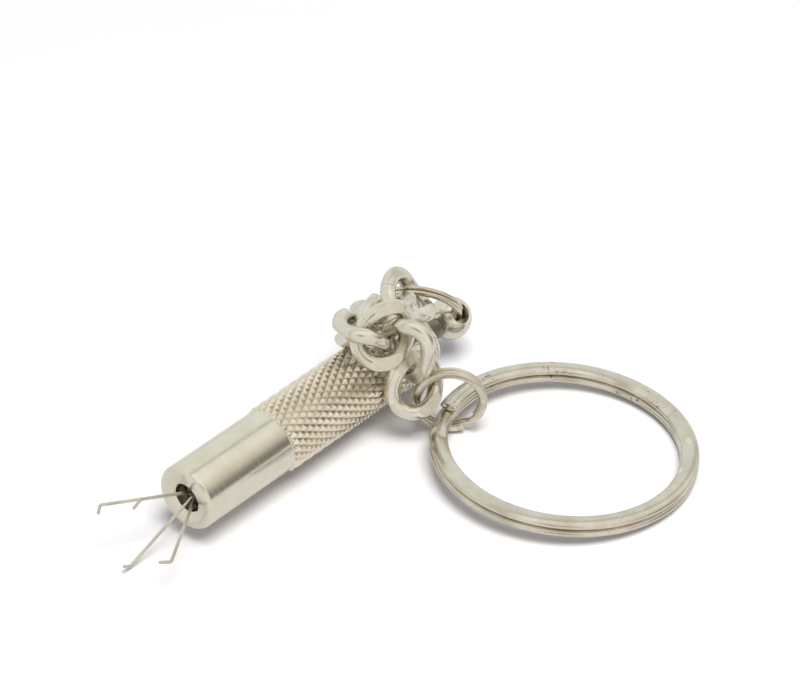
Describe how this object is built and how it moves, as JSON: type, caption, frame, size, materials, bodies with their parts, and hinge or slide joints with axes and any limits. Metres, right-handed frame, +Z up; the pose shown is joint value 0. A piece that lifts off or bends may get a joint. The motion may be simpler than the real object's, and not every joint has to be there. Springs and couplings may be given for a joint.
{
  "type": "key chain claw gripper",
  "caption": "Small pick-up tool on a key chain: a knurled tube with a sliding plunger that opens and closes thin wire claws, hung on a curb chain and key ring.",
  "frame": {"origin": "middle of the whole object's outline, on the surface that it lies on", "axes": "+X along the tube from the claws to the ball knob, +Z up from the surface, key ring towards -Y"},
  "size_m": [0.0509, 0.0365, 0.0145],
  "materials": {
    "polished_nickel": "polished warm nickel plate",
    "knurled_nickel": "bright nickel plate on sharp diamond knurling",
    "dark_nickel": "turned, thinly plated",
    "spring_wire": "drawn spring wire",
    "chain_nickel": "nickel plate, tumbled",
    "ring_nickel": "nickel plate, drawn wire"
  },
  "bodies": {
    "barrel": {"nose_cap": "polished_nickel", "knurled_barrel": "knurled_nickel", "rear_plug": "dark_nickel"},
    "plunger": {"plunger_rod": "dark_nickel", "stop_collar": "dark_nickel", "claw_ferrule": "dark_nickel", "ball_knob": "polished_nickel"},
    "claw_1": {"claw_1": "spring_wire"},
    "claw_2": {"claw_2": "spring_wire"},
    "claw_3": {"claw_3": "spring_wire"},
    "claw_4": {"claw_4": "spring_wire"},
    "knob_ring": {"knob_ring": "ring_nickel"},
    "chain_link_1": {"chain_link_1": "chain_nickel"},
    "chain_link_2": {"chain_link_2": "chain_nickel"},
    "chain_link_3": {"chain_link_3": "chain_nickel"},
    "chain_link_4": {"chain_link_4": "chain_nickel"},
    "chain_link_5": {"chain_link_5": "chain_nickel"},
    "chain_link_6": {"chain_link_6": "chain_nickel"},
    "chain_link_7": {"chain_link_7": "chain_nickel"},
    "jump_ring": {"jump_ring": "ring_nickel"},
    "key_ring": {"key_ring": "ring_nickel"}
  },
  "joints": [
    {"name": "plunger_slide", "type": "slide", "parent": "barrel", "child": "plunger", "axis": [1, 0, 0], "range_m": [0, 0.0035]},
    {"name": "claw_1_flex", "type": "hinge", "parent": "plunger", "child": "claw_1", "pos_m": [-0.0169, 0.01316, 0.00473], "axis": [0, -0.2079, 0.9781], "range_deg": [0, 22.75]},
    {"name": "claw_2_flex", "type": "hinge", "parent": "plunger", "child": "claw_2", "pos_m": [-0.0169, 0.01272, 0.00501], "axis": [0, -0.9781, -0.2079], "range_deg": [0, 22.75]},
    {"name": "claw_3_flex", "type": "hinge", "parent": "plunger", "child": "claw_3", "pos_m": [-0.0169, 0.01244, 0.00457], "axis": [0, 0.2079, -0.9781], "range_deg": [0, 22.75]},
    {"name": "claw_4_flex", "type": "hinge", "parent": "plunger", "child": "claw_4", "pos_m": [-0.0169, 0.01288, 0.00429], "axis": [0, 0.9781, 0.2079], "range_deg": [0, 22.75]},
    {"name": "knob_ring_swing", "type": "hinge", "parent": "plunger", "child": "knob_ring", "pos_m": [0.0187, 0.0128, 0.00465], "axis": [0, -0.7431, 0.6691], "range_deg": [-1.5, 0]},
    {"name": "link_1_swing", "type": "hinge", "parent": "knob_ring", "child": "chain_link_1", "pos_m": [0.01448, 0.01408, 0.00958], "axis": [0.438, -0.8841, 0.163], "range_deg": [-10, 0]},
    {"name": "link_2_swing", "type": "hinge", "parent": "chain_link_1", "child": "chain_link_2", "pos_m": [0.01081, 0.0133, 0.01029], "axis": [-0.2959, -0.8807, -0.3699], "range_deg": [-2, 0]},
    {"name": "link_3_swing", "type": "hinge", "parent": "chain_link_2", "child": "chain_link_3", "pos_m": [0.00784, 0.01355, 0.01002], "axis": [-0.074, -0.9935, 0.086], "range_deg": [-3, 1]},
    {"name": "link_4_swing", "type": "hinge", "parent": "chain_link_3", "child": "chain_link_4", "pos_m": [0.00508, 0.01211, 0.01142], "axis": [0.4671, -0.133, 0.8742], "range_deg": [-10, 0]},
    {"name": "link_5_swing", "type": "hinge", "parent": "chain_link_4", "child": "chain_link_5", "pos_m": [0.00494, 0.00918, 0.01096], "axis": [0.4599, 0.4579, -0.7608], "range_deg": [-3, 0]},
    {"name": "link_6_swing", "type": "hinge", "parent": "chain_link_5", "child": "chain_link_6", "pos_m": [0.00694, 0.00839, 0.01003], "axis": [0.8632, 0.3041, 0.4031], "range_deg": [-30, 2]},
    {"name": "link_7_swing", "type": "hinge", "parent": "chain_link_6", "child": "chain_link_7", "pos_m": [0.00749, 0.00778, 0.00679], "axis": [0.397, 0.9019, -0.17], "range_deg": [-20, 30]},
    {"name": "jump_ring_swing", "type": "hinge", "parent": "chain_link_7", "child": "jump_ring", "pos_m": [0.00891, 0.00629, 0.00452], "axis": [0.7291, 0.3831, 0.5671], "range_deg": [-25, 18]},
    {"name": "key_ring_swing", "type": "hinge", "parent": "jump_ring", "child": "key_ring", "pos_m": [0.01176, 0.00286, 0.00326], "axis": [0.112, -0.133, 0.9848], "range_deg": [-3, 30]}
  ],
  "couplings": [
    {"joint": "claw_1_flex", "follows": "plunger_slide", "rad_per_m": 113.4},
    {"joint": "claw_2_flex", "follows": "plunger_slide", "rad_per_m": 113.4},
    {"joint": "claw_3_flex", "follows": "plunger_slide", "rad_per_m": 113.4},
    {"joint": "claw_4_flex", "follows": "plunger_slide", "rad_per_m": 113.4}
  ]
}
